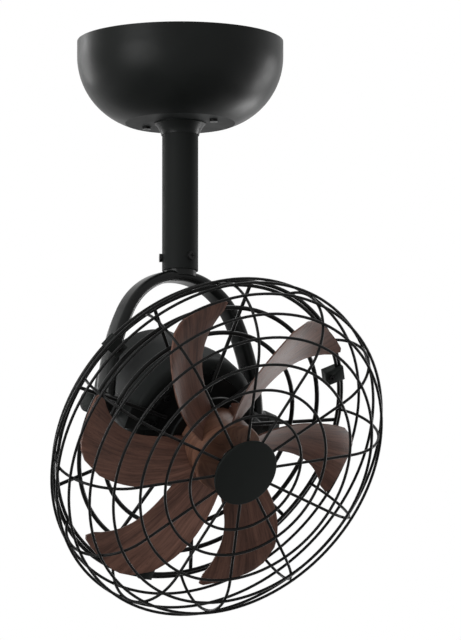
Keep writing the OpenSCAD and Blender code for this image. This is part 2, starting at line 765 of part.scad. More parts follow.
// Block over both rim rings between heights z0 and z1, with a channel for each ring
module clip_block(z0, z1) {
    difference() {
        translate([clip_in, -clip_w / 2, z0]) cube([clip_out - clip_in, clip_w, z1 - z0]);
        hoop(front_rim_r, front_rim_z, rim_d + gap);
        hoop(back_rim_r, back_rim_z, back_rim_d + gap);
        translate([clip_screw_r, 0, 0])
            rod(clip_screw_d / 2 + fit, clip_z - clip_half + 1.2, clip_z + clip_half + 1);
    }
}

module clip_fronts() color([0.06, 0.06, 0.06]) in_head() for (a = clip_angles)
    rotate([0, 0, a]) clip_block(clip_z, clip_z + clip_half);

module clip_backs() color([0.06, 0.06, 0.06]) in_head() for (a = clip_angles)
    rotate([0, 0, a]) clip_block(clip_z - clip_half, clip_z);

module clip_screws() color([0.13, 0.13, 0.13]) in_head() for (a = clip_angles)
    rotate([0, 0, a]) translate([clip_screw_r, 0, 0])
        screw(clip_z + clip_half, small_head_r, 2, clip_screw_d, 2 * clip_half - 1.5);

// Plain disc with a rounded edge, and the boss that passes between the spokes' ends
module centre_disc() color([0.07, 0.07, 0.07]) in_head() difference() {
    union() {
        rotate_extrude() polygon(concat(
            [[0, disc_back], [disc_r, disc_back]],
            arc([disc_r - 1.4, disc_back + disc_t - 1.4], 1.4, 0, 90, 6),
            [[0, disc_back + disc_t]]));
        rod(disc_boss_r, clamp_front, disc_back + nick);
    }
    at_centre_screws() rod(1.55, clamp_front - 1, disc_back + 1);
}

module at_centre_screws() {
    for (i = [0:2]) rotate([0, 0, 30 + 120 * i]) translate([centre_screw_r, 0, 0]) children();
}

// Plate behind the spokes that clamps them against the disc
module centre_plate() color([0.1, 0.1, 0.1]) in_head() difference() {
    rod(disc_r - 4, clamp_front - clamp_t, clamp_front);
    at_centre_screws() rod(1.55, clamp_front - clamp_t - 1, clamp_front + 1);
}

module centre_screws() color([0.5, 0.5, 0.5]) in_head() at_centre_screws()
    translate([0, 0, clamp_front - clamp_t]) mirror([0, 0, 1]) screw(0, 2.8, 1.8, 3, clamp_t + 3);

// Shaft with a collar behind the front bearing and one ahead of the rear bearing
module rotor_shaft() color([0.7, 0.7, 0.72]) in_head() {
    rod(shaft_r, rear_bearing_z + 0.5, shaft_end);
    for (z = [rear_bearing_z + bearing_w + gap, front_bearing_z - gap - collar_t])
        rod(shaft_r + 1.5, z, z + collar_t);
}

module rotor_core() color([0.45, 0.45, 0.47]) in_head() difference() {
    rod(rotor_r, stator_back, stator_front);
    rod(shaft_r + 0.02, stator_back - 1, stator_front + 1);
    for (i = [0:7]) rotate([0, 0, 45 * i]) translate([rotor_r * 0.6, 0, 0])
        rod(3, stator_back - 1, stator_front + 1);
}

// Plate on the shaft that the six blades are screwed to
module blade_carrier() color([0.12, 0.12, 0.12]) in_head() difference() {
    union() {
        rod(carrier_r, carrier_z - carrier_t, carrier_z);
        rod(carrier_boss_r, carrier_boss_back, carrier_z - carrier_t + nick);
    }
    rod(shaft_r + 0.02, carrier_boss_back - 1, carrier_z + 1);
    at_blade_screws() rod(blade_screw_d / 2 + fit, carrier_z - carrier_t - 1, carrier_z + 1);
}

module at_blade_screws() {
    for (i = [0:5], a = blade_screw_angles) rotate([0, 0, a - 60 * i])
        translate([blade_screw_r, 0, 0]) children();
}

// Turned wooden hub between the carrier and the nut
module hub_drum() color([0.27, 0.19, 0.17]) in_head() difference() {
    rotate_extrude() polygon(concat(
        [[shaft_r + 0.02, carrier_z], [hub_r, carrier_z]],
        arc([hub_r - 2, hub_front - 2], 2, 0, 90, 6),
        [[shaft_r + 0.02, hub_front]]));
}

// Angle of an edge at radius r
function sweep(k, r) = let (u = (r - sweep_mid_r) / sweep_half) k[0] + k[1] * u + k[2] * u * u;

// Radius where the blade ends at chord fraction v, with its two corners rounded
function tip(v) = blade_tip_r - lead_corner * pow(max(0, 1 - v / 0.15), 2)
    - trail_corner * (1 - sqrt(1 - pow(max(0, (v - 0.72) / 0.28), 2)));

// Height of the trailing edge at radius r
function trail_edge_z(r) = trail_z
    - trail_drop * pow(max(0, r - trail_drop_r) / (blade_tip_r - trail_drop_r), 2);

// Point on a blade at length step i and chord step j: face 1 looks forward, face -1 back
function blade_point(i, j, face) =
    let (v = j / chord_steps,
        r = root_r + (tip(v) - root_r) * i / blade_steps,
        a0 = sweep(lead_angles, r),
        a1 = sweep(trail_angles, r),
        rise = trail_edge_z(r) - lead_z,
        pitch = atan2(rise, r * (a1 - a0) * PI / 180),
        h = face * (edge_t + (blade_t - edge_t) * sqrt(4 * v * (1 - v))) / 2,
        a = a0 + (a1 - a0) * v - h * sin(pitch) / r * 180 / PI,
        z = lead_z + rise * v - camber * 4 * v * (1 - v) + h * cos(pitch),
        foot = face < 0 && i <= foot_steps && j <= foot_chord)
    [r * cos(a), r * sin(a), foot ? carrier_z : z];

// One blade as a closed loft between its front and back faces, with holes for its screws
module blade(turn) {
    row = chord_steps + 1;
    back = (blade_steps + 1) * row;
    points = [for (face = [1, -1], i = [0:blade_steps], j = [0:chord_steps])
        blade_point(i, j, face)];
    faces = concat(
        [for (i = [0:blade_steps - 1], j = [0:chord_steps - 1]) let (p = i * row + j)
            each [[p, p + 1, p + row], [p + 1, p + row + 1, p + row],
                [back + p, back + p + row, back + p + 1],
                [back + p + 1, back + p + row, back + p + row + 1]]],
        [for (i = [0:blade_steps - 1]) let (p = i * row, q = p + chord_steps)
            each [[p, p + row, back + p], [p + row, back + p + row, back + p],
                [q, back + q, q + row], [q + row, back + q, back + q + row]]],
        [for (j = [0:chord_steps - 1]) let (p = j, q = blade_steps * row + j)
            each [[p, back + p, p + 1], [p + 1, back + p, back + p + 1],
                [q, q + 1, back + q], [q + 1, back + q + 1, back + q]]]);
    color([0.27, 0.19, 0.17]) in_head() rotate([0, 0, turn]) difference() {
        polyhedron(points = points, faces = faces, convexity = 6);
        for (a = blade_screw_angles) rotate([0, 0, a]) translate([blade_screw_r, 0, 0])
            rod(blade_screw_d / 2 + fit, carrier_z - 1, carrier_z + blade_screw_depth + 0.5);
    }
}

module blade_screws() color([0.5, 0.5, 0.5]) in_head() at_blade_screws()
    translate([0, 0, carrier_z - carrier_t]) mirror([0, 0, 1])
        screw(0, small_head_r, 2, blade_screw_d, carrier_t + blade_screw_depth);

module hub_washer() color([0.5, 0.5, 0.5]) in_head()
    ring(hub_washer_r, shaft_r + 0.02, hub_front, hub_front + hub_washer_t);

module hub_nut() color([0.5, 0.5, 0.5]) in_head() difference() {
    translate([0, 0, hub_front + hub_washer_t]) cylinder(r = shaft_r + 4, h = hub_nut_h, $fn = 6);
    rod(shaft_r + 0.02, hub_front, shaft_end + 1);
}

module left_knob() color([0.08, 0.08, 0.08]) in_head() mirror([1, 0, 0]) knob();

module right_knob() color([0.08, 0.08, 0.08]) in_head() knob();

// Tapered knob on the tilt bolt, with grip flutes round its side
module knob() {
    difference() {
        rotate([0, 90, 0]) rotate_extrude() polygon(concat(
            [[0, knob_x], [knob_r - 0.8, knob_x], [knob_r, knob_x + 0.8], [knob_r, knob_x + 3]],
            arc([knob_tip_r - 2, knob_x + knob_h - 2], 2, 0, 90, 5),
            [[0, knob_x + knob_h]]));
        bar(bolt_r + fit, knob_x - 1, bolt_end + gap);
        for (i = [0:11]) rotate([30 * i, 0, 0]) translate([0, 0, knob_r + 0.6])
            bar(1.8, knob_x + 5, knob_x + knob_h + 1);
    }
}

hanger_bracket();
hanger_ball();
hanger_pin();
pin_clip();
down_rod();
rod_grommet();
rod_screws();
canopy();
canopy_standoffs();
canopy_screws();
canopy_collar();
terminal_block();
run_capacitor();
fork();
motor_rear_cover();
motor_front_cover();
motor_screws();
stator_core();
stator_coils();
rear_bearing();
front_bearing();
tilt_bracket_left();
tilt_bracket_right();
bracket_screws();
tilt_bolts();
friction_washers();
rear_grille();
rear_spokes();
rear_rings();
grille_screws();
front_grille();
front_rings();
front_rim();
clip_fronts();
clip_backs();
clip_screws();
centre_disc();
centre_plate();
centre_screws();
rotor_shaft();
rotor_core();
blade_carrier();
hub_drum();
blade(0);  // blade_1
blade(-60);  // blade_2
blade(-120);  // blade_3
blade(-180);  // blade_4
blade(-240);  // blade_5
blade(-300);  // blade_6
blade_screws();
hub_washer();
hub_nut();
left_knob();
right_knob();
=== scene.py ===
# %% [markdown]
# # A caged ceiling fan
#
# This notebook dresses a ceiling fan whose parts were designed in CAD. The fan hangs from a bowl
# canopy on a short rod. A fork at the rod's end holds a wire cage with a motor and six wooden
# blades. The CAD solids already have the right sizes and places, so the work here is in clean
# shading, finishes, light and a camera.
#
# The first cell loads the solids. Each one keeps its place in its own mesh, in metres, with the
# ceiling at Z = 0 and the rod on the Z axis.

# %% Load the fan's parts
import json
import math

import bmesh
import bpy
from mathutils import Matrix, Vector


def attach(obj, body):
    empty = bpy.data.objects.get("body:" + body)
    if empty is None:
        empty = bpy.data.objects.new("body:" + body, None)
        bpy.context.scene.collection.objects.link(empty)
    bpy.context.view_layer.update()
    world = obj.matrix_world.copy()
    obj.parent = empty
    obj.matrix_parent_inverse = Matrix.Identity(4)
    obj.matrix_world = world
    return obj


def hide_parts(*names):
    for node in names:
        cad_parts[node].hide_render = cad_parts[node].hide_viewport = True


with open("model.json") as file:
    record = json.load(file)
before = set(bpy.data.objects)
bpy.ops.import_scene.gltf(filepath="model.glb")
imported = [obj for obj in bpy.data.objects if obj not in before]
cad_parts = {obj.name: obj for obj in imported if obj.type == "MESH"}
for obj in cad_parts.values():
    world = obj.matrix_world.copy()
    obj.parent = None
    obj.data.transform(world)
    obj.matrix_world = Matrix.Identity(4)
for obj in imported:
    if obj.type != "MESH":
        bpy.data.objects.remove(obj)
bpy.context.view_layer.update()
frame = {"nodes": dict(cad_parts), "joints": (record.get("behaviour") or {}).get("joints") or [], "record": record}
nodes = frame["nodes"]
bodies = frame["record"]["behaviour"]["bodies"]
body_of_node = {name: body for body, names in bodies.items() for name in names}
slot_of_node = {row["node"]: row["material_slot"] for row in frame["record"]["subparts"]}
print("parts:", len(nodes), "bodies:", len(bodies))

# %% [markdown]
# ## Where the head is
#
# The head leans down and to the side, so its own axes matter more than the room's. They could be
# typed in as angles, but the fan's joints already say where they are: the tilt joint gives the
# axis through the fork's ends, and the spinning joint gives the axis out through the cage. One
# matrix made of the two turns a point of the room into a point of the head.

# %% The head's own axes
joints = {joint["name"]: joint for joint in frame["joints"]}
tilt_axis = Vector(joints["head_tilt"]["axis"]).normalized()
spin_axis = Vector(joints["blade_spin"]["axis"]).normalized()
head_up = spin_axis.cross(tilt_axis)
pivot = Vector(joints["head_tilt"]["pos_m"])
head_turn = Matrix((tilt_axis, head_up, spin_axis)).transposed().to_4x4()
room_to_head = (Matrix.Translation(pivot) @ head_turn).inverted()
print("tilt axis at", [round(c, 4) for c in pivot])

# %% [markdown]
# ## The camera
#
# The photograph looks at the fan from below with hardly any perspective, which is what a long lens
# from far away gives. An orthographic camera would come close, and the long lens keeps the trace of
# perspective that is there. The camera stands eighteen metres off, about ten degrees below level,
# and its lens is worked out from the height of the view.

# %% Set the camera
VIEW_HEIGHT = 0.67447
VIEW_DISTANCE = 18.0
VIEW_RISE = math.radians(10.4)
VIEW_CENTRE = Vector((0.05315, 0.0, -0.29914))
SENSOR_MM = 36.0
FAR_CLIP = 60.0


def make_camera():
    """A long lens that looks up at the fan from the front."""
    lens = bpy.data.cameras.new("long_lens")
    lens.sensor_fit = "AUTO"
    lens.sensor_width = SENSOR_MM
    lens.lens = SENSOR_MM * VIEW_DISTANCE / VIEW_HEIGHT
    lens.clip_end = FAR_CLIP
    camera = bpy.data.objects.new("camera", lens)
    look = Vector((0.0, math.cos(VIEW_RISE), math.sin(VIEW_RISE)))
    camera.location = VIEW_CENTRE - look * VIEW_DISTANCE
    camera.rotation_euler = look.to_track_quat("-Z", "Y").to_euler()
    bpy.context.scene.collection.objects.link(camera)
    bpy.context.scene.camera = camera
    return camera


camera = make_camera()
print("lens in mm:", round(camera.data.lens, 1))

# %% [markdown]
# ## Clean copies of the solids
#
# A solid that comes from CAD is a heap of loose triangles, so each facet of a round wall shows.
# Modelling each piece again would let its size drift. A copy with its doubles merged keeps the
# size and can be shaded smooth, with an edge kept crisp only where two faces meet at a real
# corner. The flat faces are dissolved into single polygons first, and where a piece is a pressing
# or a moulding, a narrow bevel rounds its corners so that they catch light.

# %% A helper that makes a clean copy
MERGE_GAP = 0.00002
FLAT_ANGLE = math.radians(0.4)
USUAL_CORNER = 32.0


def link_piece(mesh, node):
    """Puts a finished mesh in the scene in place of a CAD node."""
    piece = bpy.data.objects.new(node + "_finished", mesh)
    bpy.context.scene.collection.objects.link(piece)
    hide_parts(node)
    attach(piece, body_of_node[node])
    return piece


def crisp_edges(bm, corner):
    """Shades all faces smooth and keeps the edges that turn by more than the corner angle."""
    for face in bm.faces:
        face.smooth = True
    for edge in bm.edges:
        edge.smooth = len(edge.link_faces) == 2 and edge.calc_face_angle(0.0) < corner


def clean_copy(node, corner=USUAL_CORNER, bevel=0.0, flatten=True):
    """A copy of a node, merged and smoothed: corner is in degrees and bevel in metres."""
    bm = bmesh.new()
    bm.from_mesh(nodes[node].data)
    bmesh.ops.remove_doubles(bm, verts=bm.verts, dist=MERGE_GAP)
    if flatten:
        bmesh.ops.dissolve_limit(bm, angle_limit=FLAT_ANGLE, verts=bm.verts, edges=bm.edges)
    if bevel:
        sharp = [e for e in bm.edges if e.calc_face_angle(0.0) > math.radians(corner)]
        bmesh.ops.bevel(bm, geom=sharp, offset=bevel, segments=2, profile=0.5,
                        affect="EDGES", material=-1, clamp_overlap=True)
    crisp_edges(bm, math.radians(corner))
    mesh = bpy.data.meshes.new(node + "_finished")
    bm.to_mesh(mesh)
    bm.free()
    return link_piece(mesh, node)


print("loose faces in the solids:", sum(len(part.data.polygons) for part in nodes.values()))

# %% [markdown]
# ## Helpers for node trees
#
# Every finish below is a tree of shader nodes. Building one takes many lines that only add a node,
# set its numbers and draw a link, so three short helpers take that work over. The last one starts
# a node group: a piece of a tree with named inputs and outputs, which many materials can share.

# %% Add, link and group nodes
def add_node(tree, kind, **settings):
    """Adds a node. A setting names one of its attributes or else one of its inputs."""
    node = tree.nodes.new(kind)
    for name, value in settings.items():
        if hasattr(node, name):
            setattr(node, name, value)
        else:
            node.inputs[name.replace("_", " ")].default_value = value
    return node


def join(tree, *rows):
    """Links nodes. Each row is a node, its output, the next node and that one's input."""
    for source, output, target, socket in rows:
        tree.links.new(source.outputs[output], target.inputs[socket])


def new_group(name, numbers, outputs):
    """A group with a Vector input, number inputs with start values, and number outputs."""
    group = bpy.data.node_groups.new(name, "ShaderNodeTree")
    sides = group.interface
    sides.new_socket(name="Vector", in_out="INPUT", socket_type="NodeSocketVector")
    for label, value in numbers.items():
        socket = sides.new_socket(name=label, in_out="INPUT", socket_type="NodeSocketFloat")
        socket.default_value = value
    for label in outputs:
        sides.new_socket(name=label, in_out="OUTPUT", socket_type="NodeSocketFloat")
    return group, group.nodes.new("NodeGroupInput"), group.nodes.new("NodeGroupOutput")


print("helpers:", add_node.__name__, join.__name__, new_group.__name__)

# %% [markdown]
# ## A shared pattern: powder coat
#
# Nearly every metal piece is sprayed with a black powder that is then baked. The coat is not quite
# smooth: it has a very fine orange peel, and its gloss varies a little from place to place. An
# image of such a coat would show seams, while noise that reads a piece's own coordinates has none
# at any size. The peel and the cloudy gloss go into one group.

# %% Node group for the coat's texture
CLOUD_LOW, CLOUD_HIGH = 0.35, 0.65


def make_coat_group():
    group, entry, leave = new_group(
        "coat_texture", {"Peel": 900.0, "Rough Low": 0.4, "Rough High": 0.5},
        ["Roughness", "Height", "Mottle"])
    peel = add_node(group, "ShaderNodeTexNoise", Detail=3.0, Roughness=0.6)
    cloud = add_node(group, "ShaderNodeTexNoise", Scale=38.0, Detail=4.0, Roughness=0.55)
    spread = add_node(group, "ShaderNodeMapRange", From_Min=CLOUD_LOW, From_Max=CLOUD_HIGH)
    join(group,
         (entry, "Vector", peel, "Vector"), (entry, "Peel", peel, "Scale"),
         (entry, "Vector", cloud, "Vector"), (cloud, "Fac", spread, "Value"),
         (entry, "Rough Low", spread, "To Min"), (entry, "Rough High", spread, "To Max"),
         (spread, "Result", leave, "Roughness"), (peel, "Fac", leave, "Height"),
         (cloud, "Fac", leave, "Mottle"))
    return group


coat_group = make_coat_group()
print("coat group nodes:", len(coat_group.nodes))

# %% [markdown]
# ## The plain finishes
#
# The coats, the mouldings, the plated steel and the few inner metals differ in colour, metalness
# and gloss, and share the same fine texture. One function makes them all, so that a new finish is
# one row of numbers: two near shades are mixed by the mottle, and the peel feeds a bump.

# %% A function for a plain finish
def material_shell(name, **inputs):
    """A material with one Principled shader, whose inputs take the given values."""
    material = bpy.data.materials.new(name)
    material.use_nodes = True
    tree = material.node_tree
    tree.nodes.clear()
    shader = add_node(tree, "ShaderNodeBsdfPrincipled", **inputs)
    out = tree.nodes.new("ShaderNodeOutputMaterial")
    join(tree, (shader, "BSDF", out, "Surface"))
    return material, tree, shader


def coated(name, dark, light, rough, metallic=0.0, specular=0.5, peel=900.0, relief=0.00002):
    """A finish with two near shades, a roughness range and a fine peel."""
    material, tree, shader = material_shell(name, Metallic=metallic, Specular_IOR_Level=specular)
    place = tree.nodes.new("ShaderNodeTexCoord")
    coat = add_node(tree, "ShaderNodeGroup", node_tree=coat_group, Peel=peel,
                    Rough_Low=rough[0], Rough_High=rough[1])
    shade = add_node(tree, "ShaderNodeMix", data_type="RGBA", A=(*dark, 1.0), B=(*light, 1.0))
    bump = add_node(tree, "ShaderNodeBump", Strength=0.5, Distance=relief)
    join(tree,
         (place, "Object", coat, "Vector"), (coat, "Mottle", shade, "Factor"),
         (shade, "Result", shader, "Base Color"), (coat, "Roughness", shader, "Roughness"),
         (coat, "Height", bump, "Height"), (bump, "Normal", shader, "Normal"))
    return material


finishes = {}
print("a finish takes its texture from", coat_group.name)

# %% [markdown]
# ## The black coats
#
# In the photograph the pieces are all black, yet the bowl, the rod, the fork, the motor and the wires each catch
# the light in their own way. One black for all of them makes the wires too dull or the rod too shiny. So the
# powder coat, which is one black on the real fan, comes in five near copies, from the satin fork to the matt rod.
# They differ in roughness and specular level, and also in a painted shade: the rod and the motor are painted
# lighter and the fork and the wires darker, to stand for how the light falls on each.

# %% Make the black coats
finishes["black_coat"] = coated(
    "black_powder_coat", (0.0052, 0.0060, 0.0057), (0.0074, 0.0083, 0.0079), (0.34, 0.42),
    specular=0.09)
# The rod's copy of the coat: its shade is painted lighter for how the light falls on it, and it is less glossy.
finishes["matt_black_painted_lighter"] = coated(
    "matt_powder_painted_lighter", (0.0112, 0.0121, 0.0118), (0.0130, 0.0140, 0.0136), (0.52, 0.60),
    specular=0.03)
# The copy for the motor and the canopy's underside: its shade is painted lighter for how the light falls there,
# and it is less glossy.
finishes["dull_black_painted_lighter"] = coated(
    "dull_powder_painted_lighter", (0.0095, 0.0106, 0.0104), (0.0126, 0.0140, 0.0136), (0.46, 0.54),
    specular=0.045)
# The fork's copy of the coat: its shade is painted darker for how the light falls on it, and it is glossier.
finishes["satin_black_painted_darker"] = coated(
    "satin_tube_painted_darker", (0.0045, 0.0050, 0.0048), (0.0060, 0.0066, 0.0064), (0.25, 0.32),
    specular=0.13)
# The wires' copy of the coat: its shade is painted darker for how the light falls on them.
finishes["wire_black_painted_darker"] = coated(
    "dipped_wire_painted_darker", (0.0046, 0.0047, 0.0046), (0.0064, 0.0066, 0.0064), (0.27, 0.34),
    specular=0.09)
print("coats:", sorted(finishes))

# %% [markdown]
# ## Screws, mouldings and inner metals
#
# The screws are oiled black, the rim clips, the knobs and the centre disc are black mouldings, and
# the parts inside are plated or bare metal. The peel is finer here than on a coat, because these
# surfaces are ground, plated or moulded. Copper wire has a deeper relief that hints at its turns.

# %% Make the other plain finishes
finishes["black_screw"] = coated(
    "black_oxide_screw", (0.003, 0.003, 0.0031), (0.008, 0.008, 0.008), (0.26, 0.38),
    specular=0.14, peel=1600.0)
finishes["black_plastic"] = coated(
    "black_moulding", (0.0095, 0.0112, 0.0104), (0.0121, 0.0140, 0.0131), (0.50, 0.60),
    specular=0.05, peel=1400.0)
finishes["zinc_steel"] = coated(
    "zinc_plate", (0.40, 0.41, 0.42), (0.50, 0.51, 0.52), (0.32, 0.45),
    metallic=1.0, peel=1200.0)
finishes["bright_steel"] = coated(
    "ground_steel", (0.55, 0.55, 0.57), (0.62, 0.62, 0.64), (0.18, 0.30),
    metallic=1.0, peel=2000.0)
finishes["lamination_steel"] = coated(
    "stator_steel", (0.20, 0.20, 0.22), (0.28, 0.28, 0.30), (0.4, 0.55),
    metallic=1.0, peel=1800.0)
finishes["copper_winding"] = coated(
    "enamelled_copper", (0.36, 0.12, 0.04), (0.50, 0.20, 0.07), (0.25, 0.4),
    metallic=1.0, peel=2400.0, relief=0.0001)
finishes["pale_plastic"] = coated(
    "pale_moulding", (0.62, 0.62, 0.58), (0.68, 0.68, 0.64), (0.4, 0.5))
print("finishes:", sorted(finishes))

# %% [markdown]
# ## The walnut's grain
#
# Blades and hub are a dark reddish brown wood with fine grain that runs from the hub out to the
# tips and bends with the sweep. The wave texture would give even stripes, and real grain is
# uneven, so the group uses noise that is stretched far along its first direction. Broad and fine
# streaks make the tone, and very fine ones, cut off sharply, make the short dark pores.

# %% Node group for the grain
SWAY = (0.0, 0.012, 0.0)


def make_grain_group():
    group, entry, leave = new_group("wood_grain", {"Pores": 1.0}, ["Tone", "Pore", "Height"])
    bend = add_node(group, "ShaderNodeTexNoise", Scale=9.0, Detail=2.0)
    sway = add_node(group, "ShaderNodeVectorMath", operation="MULTIPLY_ADD")
    sway.inputs[1].default_value = SWAY
    join(group, (entry, "Vector", bend, "Vector"), (bend, "Color", sway, 0),
         (entry, "Vector", sway, 2))

    def streak(along, scale, detail):
        """Noise whose scale along the grain is only this share of the scale across it."""
        squeeze = add_node(group, "ShaderNodeVectorMath", operation="MULTIPLY")
        squeeze.inputs[1].default_value = (along, 1.0, 1.0)
        noise = add_node(group, "ShaderNodeTexNoise", Scale=scale, Detail=detail, Roughness=0.62)
        join(group, (sway, "Vector", squeeze, 0), (squeeze, "Vector", noise, "Vector"))
        return noise

    broad = streak(0.10, 95.0, 3.0)
    fine = streak(0.05, 420.0, 4.0)
    pore = streak(0.09, 1500.0, 2.0)
    blend = add_node(group, "ShaderNodeMix", data_type="FLOAT", Factor=0.5)
    tone = add_node(group, "ShaderNodeMapRange", From_Min=0.36, From_Max=0.64)
    cut = add_node(group, "ShaderNodeMapRange", From_Min=0.60, From_Max=0.70)
    deep = add_node(group, "ShaderNodeMath", operation="MULTIPLY")
    relief = add_node(group, "ShaderNodeMath", operation="SUBTRACT")
    join(group,
         (broad, "Fac", blend, "A"), (fine, "Fac", blend, "B"), (blend, "Result", tone, "Value"),
         (pore, "Fac", cut, "Value"), (cut, "Result", deep, 0), (entry, "Pores", deep, 1),
         (fine, "Fac", relief, 0), (deep, "Value", relief, 1),
         (tone, "Result", leave, "Tone"), (deep, "Value", leave, "Pore"),
         (relief, "Value", leave, "Height"))
    return group


grain_group = make_grain_group()
print("grain group nodes:", len(grain_group.nodes))

# %% [markdown]
# ## The walnut
#
# The wood is stained and has a satin lacquer. The tone picks a shade between a dark and a light
# brown, the pores are darker still, and light streaks are a little less glossy than dark ones. A
# grain that follows a bent blade needs coordinates of its own, so this material reads a UV map,
# which the blades and the hub get below. The hub is a touch warmer than the blades.

# %% Make the walnut finish
BLADE_SHADES = ((0.049, 0.0235, 0.0173), (0.155, 0.077, 0.056))
HUB_SHADES = ((0.060, 0.0275, 0.0175), (0.162, 0.080, 0.052))
PORE_SHADE = (0.012, 0.006, 0.0045)
PORE_DEPTH = 0.6
GRAIN_RELIEF = 0.0002


def walnut(name, shades):
    """Stained walnut with a satin lacquer, from a dark and a light shade."""
    material, tree, shader = material_shell(name, Specular_IOR_Level=0.16)
    place = tree.nodes.new("ShaderNodeTexCoord")
    grain = add_node(tree, "ShaderNodeGroup", node_tree=grain_group, Pores=PORE_DEPTH)
    shade = add_node(tree, "ShaderNodeMix", data_type="RGBA",
                     A=(*shades[0], 1.0), B=(*shades[1], 1.0))
    speck = add_node(tree, "ShaderNodeMix", data_type="RGBA", B=(*PORE_SHADE, 1.0))
    gloss = add_node(tree, "ShaderNodeMapRange", To_Min=0.36, To_Max=0.50)
    bump = add_node(tree, "ShaderNodeBump", Strength=0.5, Distance=GRAIN_RELIEF)
    join(tree,
         (place, "UV", grain, "Vector"), (grain, "Tone", shade, "Factor"),
         (shade, "Result", speck, "A"), (grain, "Pore", speck, "Factor"),
         (speck, "Result", shader, "Base Color"), (grain, "Tone", gloss, "Value"),
         (gloss, "Result", shader, "Roughness"), (grain, "Height", bump, "Height"),
         (bump, "Normal", shader, "Normal"))
    return material


walnut_blade = walnut("walnut_blade", BLADE_SHADES)
walnut_hub = walnut("walnut_hub", HUB_SHADES)
print("walnut made:", walnut_blade.name, walnut_hub.name)

# %% [markdown]
# ## The metalwork
#
# The round pieces and the pressings each get a clean copy. Pieces with flat sides also get a
# narrow bevel, because sprayed or moulded corners are never knife edges. It is cut into the mesh
# and not left to a Bevel modifier, so that the crisp edges are found after it. The canopy has a
# lower limit for its corners, because its flat underside meets the bowl at only twenty degrees.

# %% Dress the metalwork
BLADES = ["blade_%d" % number for number in range(1, 7)]
HUB = "hub_drum"
BEVELLED = {"hanger_bracket": 0.0004, "tilt_bracket_left": 0.0004, "tilt_bracket_right": 0.0004,
            "terminal_block": 0.0005, "run_capacitor": 0.0012, "clip_fronts": 0.0005,
            "clip_backs": 0.0005, "hub_nut": 0.0003}
CORNERS = {"canopy": 12.0}
# The rod, the fork, the motor and the wires take the copies of the one coat whose shades are painted lighter or
# darker.
WORN_BY = {"matt_black_painted_lighter": ["down_rod"], "satin_black_painted_darker": ["fork"],
           "dull_black_painted_lighter": ["motor_rear_cover", "motor_front_cover"],
           "wire_black_painted_darker": ["front_grille", "front_rings", "front_rim",
                         "rear_grille", "rear_spokes", "rear_rings"]}
coat_of_node = {node: coat for coat, wearers in WORN_BY.items() for node in wearers}

dressed = {}
for node in sorted(nodes):
    if node not in (*BLADES, HUB):
        piece = clean_copy(node, CORNERS.get(node, USUAL_CORNER), BEVELLED.get(node, 0.0))
        piece.data.materials.append(finishes[coat_of_node.get(node, slot_of_node[node])])
        dressed[node] = piece
print("dressed:", len(dressed), "pieces")

# %% [markdown]
# ## Under the canopy
#
# The bowl's side has a soft sheen, while its flat underside looks duller in the photograph. The underside could be
# a piece of its own, but it is one pressing with the bowl, under one coat. A second material on the faces that
# look straight down does it without a seam. That material is the copy of the coat that is less glossy and whose
# shade is painted lighter, for how the light falls there.

# %% A duller coat with a painted lighter shade on the canopy's underside
FACING_DOWN = -0.99

canopy_mesh = dressed["canopy"].data
# The underside takes the copy of the coat with the painted lighter shade and less gloss.
canopy_mesh.materials.append(finishes["dull_black_painted_lighter"])
underside = [face for face in canopy_mesh.polygons if face.normal.z < FACING_DOWN]
for face in underside:
    face.material_index = 1
print("faces under the canopy:", len(underside))

# %% [markdown]
# ## The blades
#
# Each blade is swept back like a sickle and pitched. The loft from CAD is fine enough to shade
# smooth, so its faces are left as they are and only a UV map is added. Unwrapping a blade by its
# seams would lay the grain straight across the sweep. Here, for every corner of a face, the
# distance from the shaft gives the first coordinate, and the angle around the shaft, taken
# against the blade's own sweep, gives the second. Both are in metres, so the grain keeps its real
# size. Each blade takes its grain from another part of the board.

# %% Lay the grain along the blades
BLADE_CORNER = 50.0
BLADE_TURN = -60.0
BOARD_STEP = 0.31
BOARD_SHIFT = 3.0
GRAIN_START = math.radians(125.0)
GRAIN_ARC = 0.085
SWEEP_SHARE = 0.20
PITCH_SHARE = 0.5


def lay_grain(piece, turn, offset):
    """UV along and across a blade whose first direction is turn degrees round the hub."""
    mesh = piece.data
    layer = mesh.uv_layers.new(name="grain")
    for loop in mesh.loops:
        spot = room_to_head @ mesh.vertices[loop.vertex_index].co
        radius = math.hypot(spot.x, spot.y)
        angle = math.atan2(spot.y, spot.x) - math.radians(turn)
        angle = (angle + 2.0 * math.pi) % (2.0 * math.pi)
        across = (angle - GRAIN_START) * GRAIN_ARC + SWEEP_SHARE * radius
        across = across + PITCH_SHARE * spot.z + BOARD_SHIFT * offset
        layer.data[loop.index].uv = (radius + offset, across)


for number, node in enumerate(BLADES):
    piece = clean_copy(node, BLADE_CORNER, flatten=False)
    piece.data.materials.append(walnut_blade)
    lay_grain(piece, BLADE_TURN * number, BOARD_STEP * number)
    dressed[node] = piece
print("dressed:", len(dressed), "pieces")

# %% [markdown]
# ## The hub
#
# The hub is turned from a block, so its grain doesn't follow it round as it does on the blades.
# The block's grain runs straight through, and the rings of the tree show as curves on the face.
# The map takes the place along the grain and the distance from the tree's heart, which lay a
# little beside the shaft.

# %% Lay the grain through the hub
HEART_X = -0.02
HEART_Z = 0.06


def lay_hub_grain(piece):
    """UV along the block's grain and out from the tree's heart."""
    mesh = piece.data
    layer = mesh.uv_layers.new(name="grain")
    for loop in mesh.loops:
        spot = room_to_head @ mesh.vertices[loop.vertex_index].co
        rings = math.hypot(spot.x - HEART_X, spot.z - HEART_Z)
        layer.data[loop.index].uv = (spot.y, rings)


hub = clean_copy(HUB)
hub.data.materials.append(walnut_hub)
lay_hub_grain(hub)
dressed[HUB] = hub
print("dressed:", len(dressed), "of", len(nodes), "pieces")

